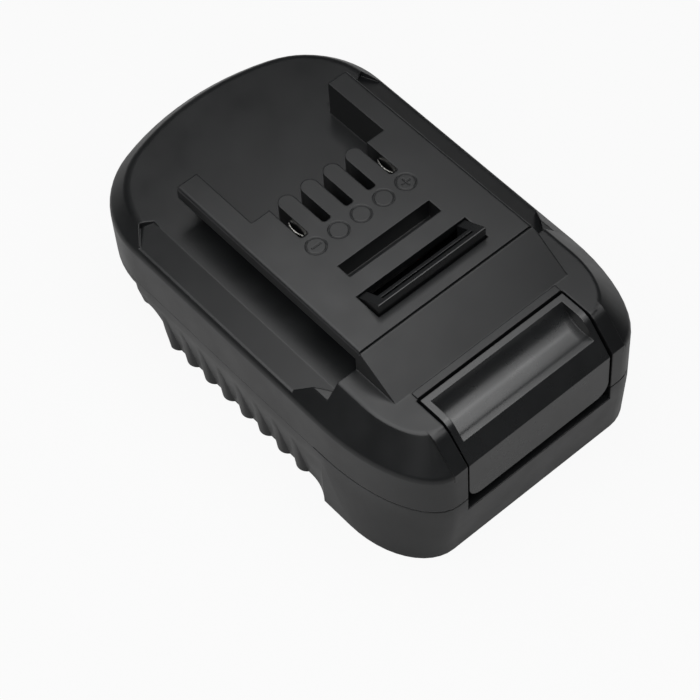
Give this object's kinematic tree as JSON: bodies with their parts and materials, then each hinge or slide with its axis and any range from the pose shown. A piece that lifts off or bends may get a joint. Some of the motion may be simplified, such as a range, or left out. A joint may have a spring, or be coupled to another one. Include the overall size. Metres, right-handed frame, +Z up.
{
  "type": "tool battery adapter",
  "caption": "Slide-on battery adapter: a tool rail with contact slots on top, a sprung push-down latch in front, and a ribbed channel below that takes another battery.",
  "frame": {"origin": "middle of the bottom face, on the plane that the skirt rests on", "axes": "+Y towards the back end where the battery slides in, -Y towards the push button, +Z up through the tool rail"},
  "size_m": [0.082, 0.1324, 0.0558],
  "materials": {
    "housing": "fine moulded texture",
    "latch": "satin",
    "spring": "drawn wire",
    "board": "solder mask",
    "block": "moulded",
    "contact": "nickel plated",
    "screw": "zinc plated",
    "black_lead": "smooth",
    "red_lead": "smooth"
  },
  "bodies": {
    "housing": {"upper_housing": "housing", "lower_housing": "housing", "latch_spring_left": "spring", "latch_spring_right": "spring", "contact_board": "board", "negative_clip": "contact", "positive_clip": "contact", "board_screws": "screw", "terminal_block": "block", "negative_blade": "contact", "positive_blade": "contact", "block_screws": "screw", "negative_lead": "black_lead", "positive_lead": "red_lead", "housing_screws": "screw"},
    "latch": {"release_latch": "latch"}
  },
  "joints": [
    {"name": "latch_press", "type": "slide", "parent": "housing", "child": "latch", "axis": [0, 0, -1], "range_m": [0, 0.0035], "stiffness_N_per_m": 1200, "springref_m": -0.003, "deforming": ["latch_spring_left", "latch_spring_right"]}
  ]
}
